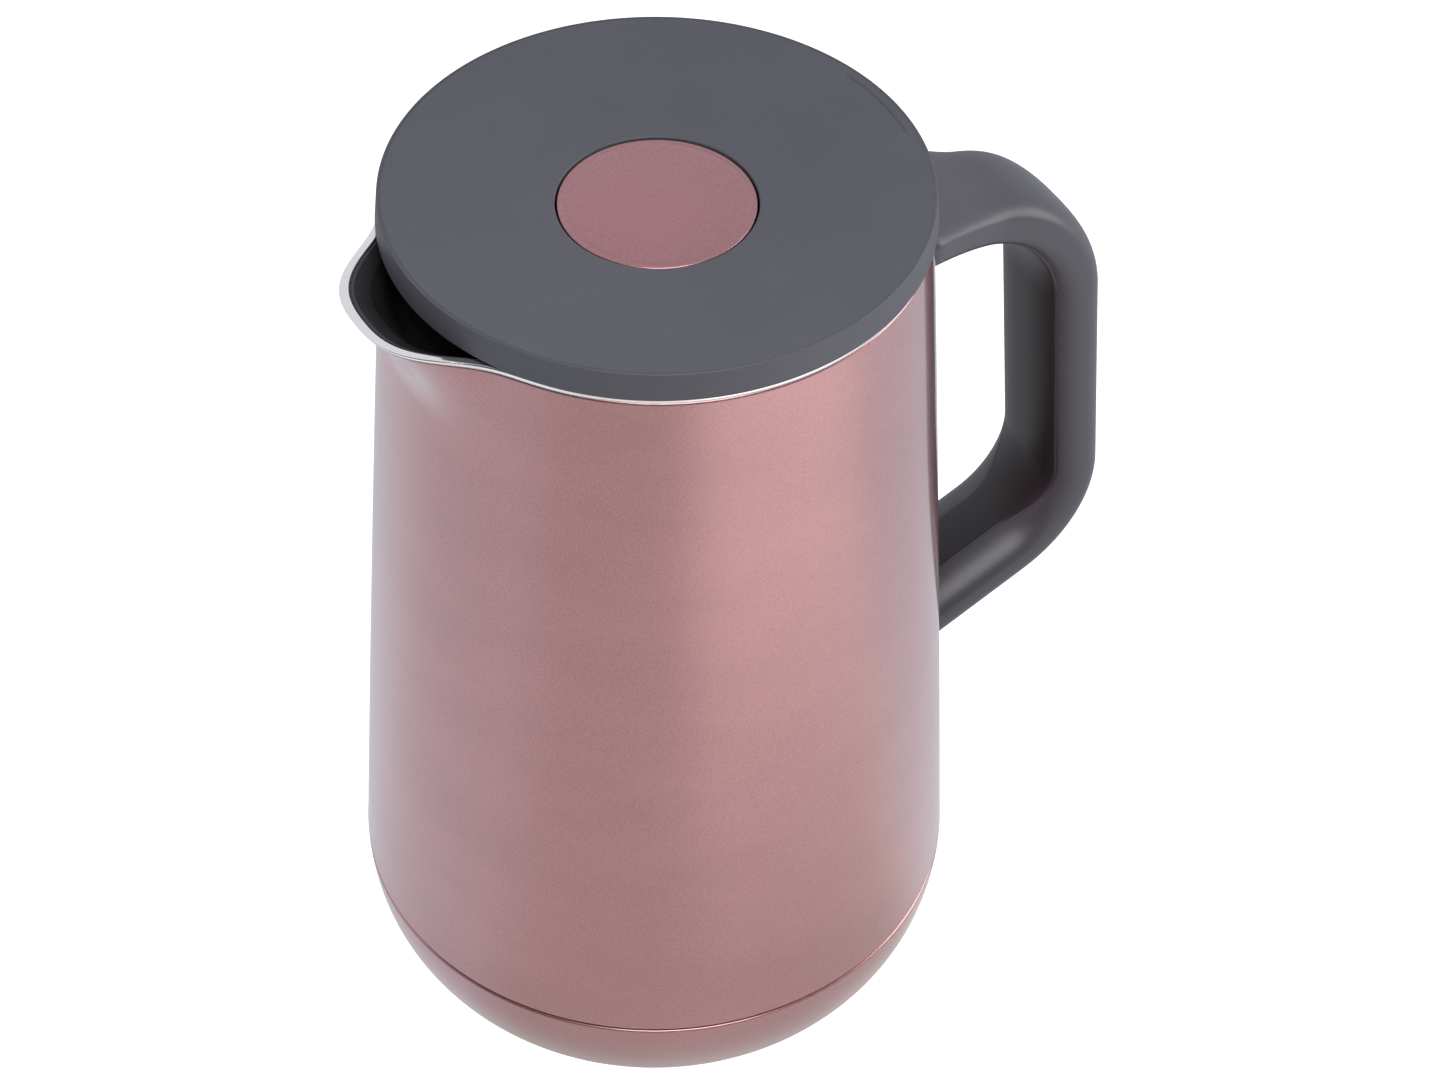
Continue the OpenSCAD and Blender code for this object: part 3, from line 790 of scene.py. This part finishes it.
def heading(degrees, up=0.0):
    """Unit direction on a compass heading, tipped up by so many degrees."""
    a, e = math.radians(degrees), math.radians(up)
    return math.cos(a) * math.cos(e), math.sin(a) * math.cos(e), math.sin(e)


def make_camera():
    """A long lens looking down at the jug from beside the lip, rolled a little."""
    data = bpy.data.cameras.new("camera")
    data.lens = 92.5
    data.sensor_width = 36
    camera = bpy.data.objects.new("camera", data)
    bpy.context.scene.collection.objects.link(camera)
    roll = math.radians(-1.26)
    forward = Vector(heading(CAMERA_HEADING, -44.85))
    right = forward.cross(Vector((0, 0, 1))).normalized()
    up = right.cross(forward)
    rolled_right = right * math.cos(roll) - up * math.sin(roll)
    rolled_up = up * math.cos(roll) + right * math.sin(roll)
    place = Matrix((rolled_right, rolled_up, -forward)).transposed().to_4x4()
    place.translation = (-0.2901, -0.5213, 0.7150)
    camera.matrix_world = place
    bpy.context.scene.camera = camera


def direction_fade(tree, vector, towards, low, high, start, end):
    """Fades from low to high as a direction turns towards another, given as cosines start to end."""
    dot = node(tree, "ShaderNodeVectorMath", operation="DOT_PRODUCT")
    dot.inputs[1].default_value = towards
    tree.links.new(vector, dot.inputs[0])
    return spread(tree, dot.outputs["Value"], low, high, start, end, kind="SMOOTHSTEP")


def lit_floor(tree):
    """Colour and strength of the floor as a light table: dim in front and behind, a pool to the right."""
    place = node(tree, "ShaderNodeTexCoord").outputs["Object"]
    compass = node(tree, "ShaderNodeVectorMath", operation="NORMALIZE")
    tree.links.new(place, compass.inputs[0])
    around = compass.outputs["Vector"]
    length = node(tree, "ShaderNodeVectorMath", operation="LENGTH")
    tree.links.new(place, length.inputs[0])
    far = length.outputs["Value"]
    pool = direction_fade(tree, around, heading(POOL_HEADING), 0.0, 1.0, 0.74, 0.98)
    pool = maths(tree, "MULTIPLY", pool, spread(tree, far, -0.5, 1.0, *POOL_REACH))
    front = direction_fade(tree, around, heading(FRONT_HEADING), 0.0, -FRONT_DIM, 0.80, 0.985)
    back = direction_fade(tree, around, heading(BACK_HEADING), 0.0, -BACK_DIM, 0.0, 0.9)
    level = maths(tree, "ADD", maths(tree, "MULTIPLY", pool, POOL_LEVEL), FLOOR_LEVEL)
    level = maths(tree, "ADD", maths(tree, "ADD", level, front), back)
    level = maths(tree, "MULTIPLY", level, spread(tree, far, CONTACT_SHADE, 1.0, *CONTACT_REACH))
    warm = direction_fade(tree, around, heading(WARM_HEADING), 0.0, 1.0, 0.1, 0.85)
    return blend_colours(tree, warm, (0.88, 0.93, 1.0), (1.0, 0.97, 0.94)), level


def make_floor():
    """A wide pale floor: plain white to the camera, a graded light table in reflections."""
    half = 6.0
    corners = [(-half, -half, 0), (half, -half, 0), (half, half, 0), (-half, half, 0)]
    floor = make_mesh("floor", corners, [(0, 1, 2, 3)])
    m, tree, shader = new_material("floor_pale")
    speck = noise(tree, object_coordinates(tree), 40)
    pale = blend_colours(tree, speck, (0.29, 0.29, 0.30), (0.31, 0.31, 0.32))
    tree.links.new(pale, shader.inputs["Base Color"])
    colour, level = lit_floor(tree)
    seen = node(tree, "ShaderNodeLightPath").outputs["Is Camera Ray"]
    strength = maths(tree, "ADD", maths(tree, "MULTIPLY", seen, FLOOR_WHITE), level)
    tree.links.new(colour, shader.inputs["Emission Color"])
    tree.links.new(strength, shader.inputs["Emission Strength"])
    shader.inputs["Roughness"].default_value = 0.9
    shader.inputs["Specular IOR Level"].default_value = 0.1
    floor.data.materials.append(m)


def area_light(name, at, aim, size, power):
    """A soft rectangular light at a point, aimed at another."""
    data = bpy.data.lights.new(name, "AREA")
    data.shape = "RECTANGLE"
    data.size, data.size_y = size
    data.energy = power
    light = bpy.data.objects.new(name, data)
    bpy.context.scene.collection.objects.link(light)
    light.location = at
    light.rotation_euler = (Vector(aim) - Vector(at)).to_track_quat("-Z", "Y").to_euler()


def make_lights():
    """A room bright behind the jug and dark behind the camera, with soft boxes above, right and left."""
    world = bpy.data.worlds.new("studio")
    bpy.context.scene.world = world
    world.use_nodes = True
    tree = world.node_tree
    background = tree.nodes["Background"]
    around = node(tree, "ShaderNodeTexCoord").outputs["Generated"]
    room = direction_fade(tree, around, heading(CAMERA_HEADING), ROOM_DARK, ROOM_BRIGHT, -0.7, 0.6)
    seen = node(tree, "ShaderNodeLightPath").outputs["Is Camera Ray"]
    strength = maths(tree, "MAXIMUM", maths(tree, "MULTIPLY", seen, ROOM_SEEN), room)
    tree.links.new(strength, background.inputs["Strength"])
    background.inputs["Color"].default_value = (0.95, 0.96, 1.0, 1)
    area_light("top_box", at=(-0.12, -0.42, 0.80), aim=(0, 0, 0.2), size=(0.5, 0.5), power=4.6)
    area_light("right_box", at=(1.0, -0.35, 0.55), aim=(0.02, 0, 0.12), size=(0.6, 0.9), power=6)
    area_light("left_box", at=(-1.0, 0.7, 0.7), aim=(0, 0, 0.12), size=(0.6, 0.9), power=1)


make_camera()
make_floor()
make_lights()
bpy.context.scene.view_settings.view_transform = "Standard"
